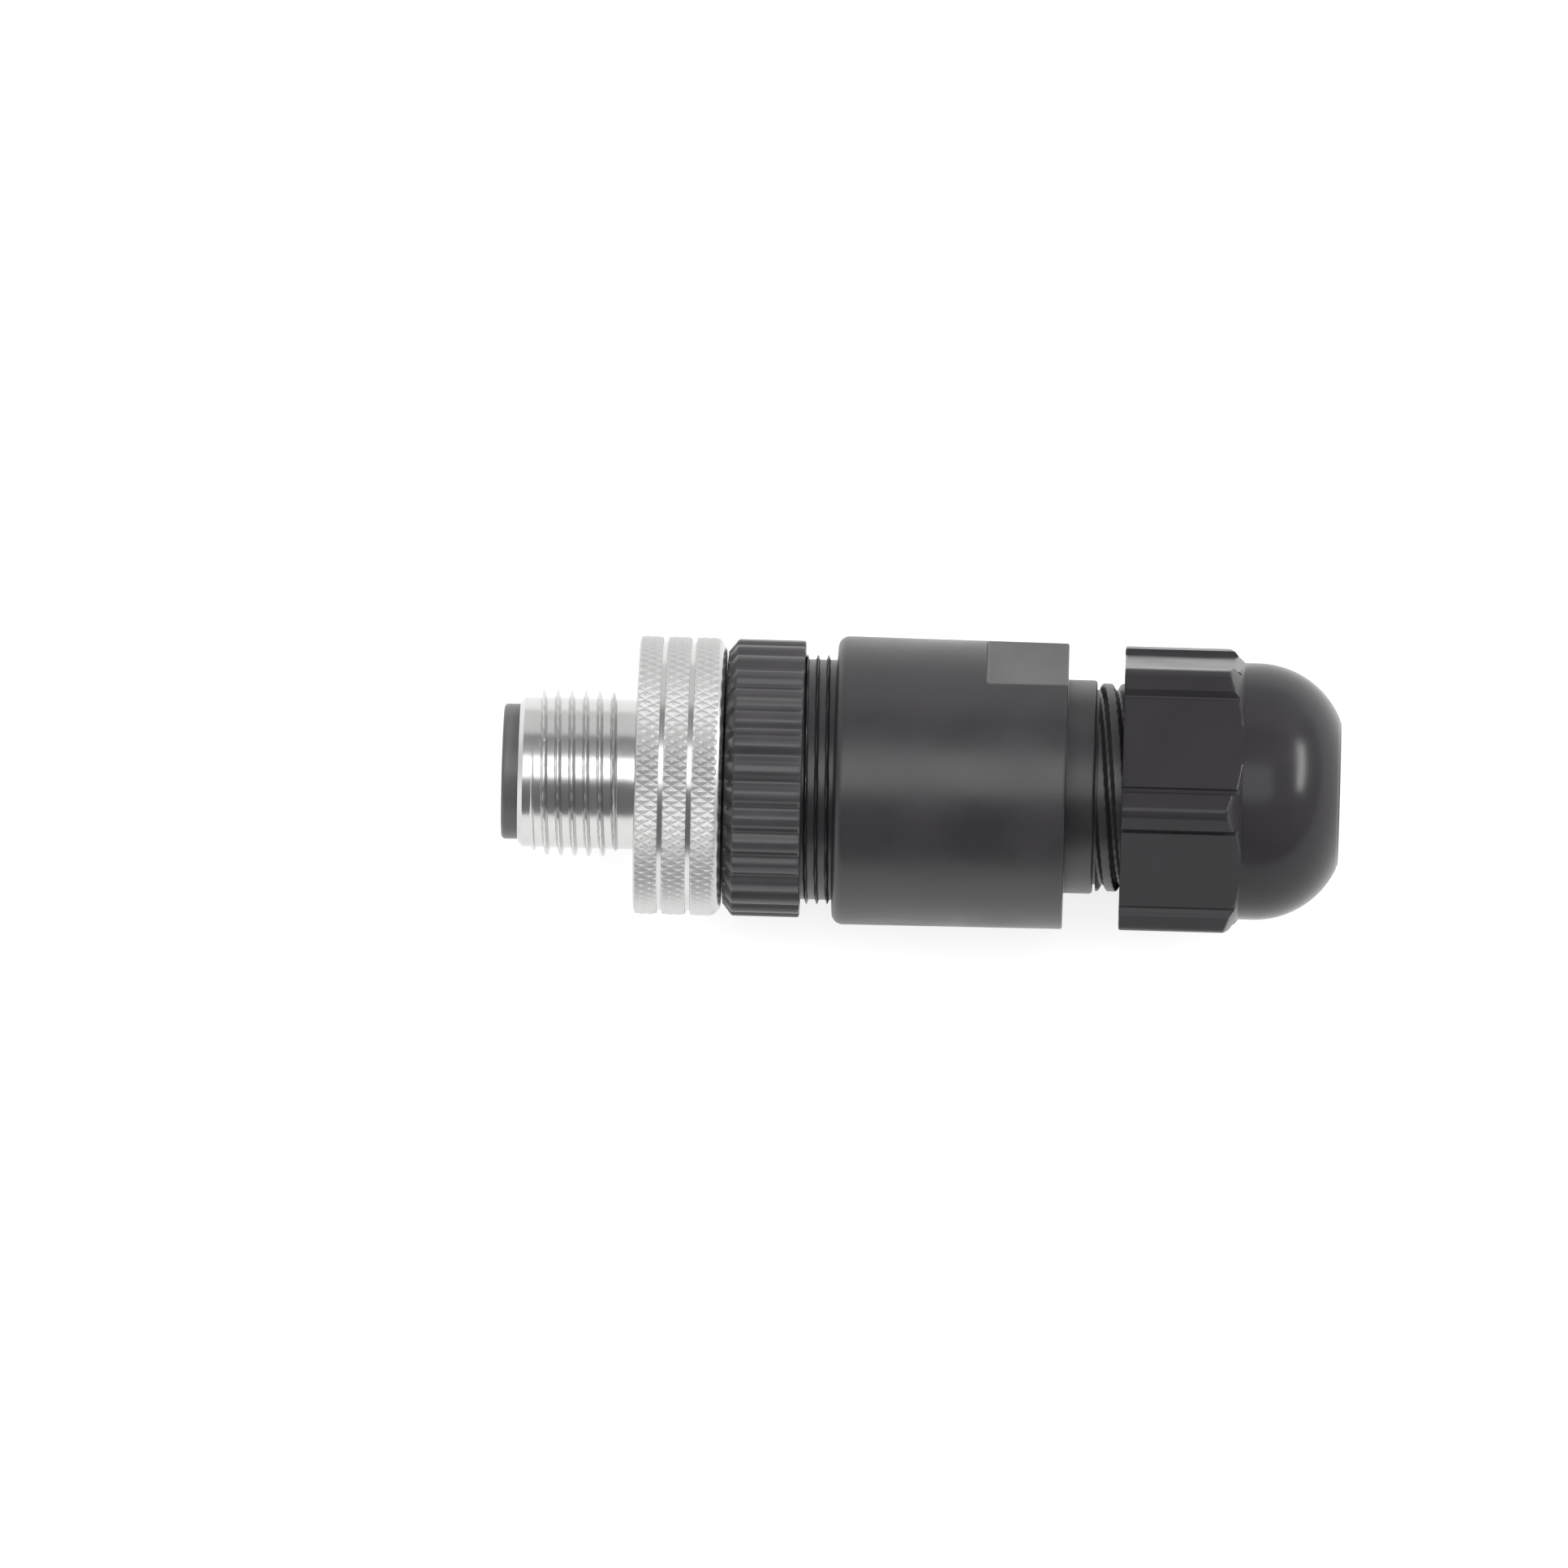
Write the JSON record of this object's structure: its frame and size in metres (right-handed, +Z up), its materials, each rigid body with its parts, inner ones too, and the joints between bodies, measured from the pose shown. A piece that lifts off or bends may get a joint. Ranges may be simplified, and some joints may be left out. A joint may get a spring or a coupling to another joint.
{
  "type": "circular ethernet connector",
  "caption": "Field-wireable round plug with a knurled threaded coupling ring, ribbed collar, wrench flats and a domed cable gland.",
  "frame": {"origin": "on the connector's axis, at the front end of the M12 thread of the coupling ring", "axes": "+X along the axis towards the cable end, -X towards the mating end, +Z up with the connector lying on its side"},
  "size_m": [0.06, 0.0216, 0.0206],
  "materials": {
    "nickel_plate": "bright nickel plate over brass",
    "grip_plastic": "dark grey moulded polyamide, satin",
    "nut_plastic": "dark grey moulded polyamide, semi-gloss",
    "insert_plastic": "black moulded polyamide",
    "seal_rubber": "dark grey rubber, matt",
    "contact_gold": "gold plate over brass",
    "spring_steel": "plain spring steel",
    "screw_steel": "plated steel screws"
  },
  "bodies": {
    "housing": {"housing": "grip_plastic", "clamp_cage": "insert_plastic", "cable_seal": "seal_rubber"},
    "insert": {"contact_insert": "insert_plastic", "retaining_ring": "spring_steel", "insert_seal": "seal_rubber", "contact_pin_1": "contact_gold", "contact_pin_2": "contact_gold", "contact_pin_3": "contact_gold", "contact_pin_4": "contact_gold", "terminal_screw_1": "screw_steel", "terminal_screw_2": "screw_steel", "terminal_screw_3": "screw_steel", "terminal_screw_4": "screw_steel"},
    "coupling_ring": {"coupling_ring": "nickel_plate"},
    "ribbed_collar": {"ribbed_collar": "grip_plastic"},
    "pressure_ring": {"pressure_ring": "insert_plastic"},
    "gland_nut": {"gland_nut": "nut_plastic"}
  },
  "joints": [
    {"name": "insert_slide", "type": "slide", "parent": "housing", "child": "insert", "axis": [-1, 0, 0], "range_m": [0, 0.003]},
    {"name": "collar_turn", "type": "hinge", "parent": "insert", "child": "ribbed_collar", "pos_m": [0.016, 0, 0], "axis": [-1, 0, 0], "range_deg": [0, 1440.5]},
    {"name": "coupling_spin", "type": "hinge", "parent": "insert", "child": "coupling_ring", "pos_m": [0.008, 0, 0], "axis": [1, 0, 0], "continuous": true},
    {"name": "pressure_slide", "type": "slide", "parent": "housing", "child": "pressure_ring", "axis": [1, 0, 0], "range_m": [-0.00075, 0.0045]},
    {"name": "nut_turn", "type": "hinge", "parent": "pressure_ring", "child": "gland_nut", "pos_m": [0.046, 0, 0], "axis": [1, 0, 0], "range_deg": [-180.5, 1080.5]}
  ],
  "couplings": [
    {"joint": "collar_turn", "follows": "insert_slide", "rad_per_m": 8377.6},
    {"joint": "nut_turn", "follows": "pressure_slide", "rad_per_m": 4188.8}
  ]
}
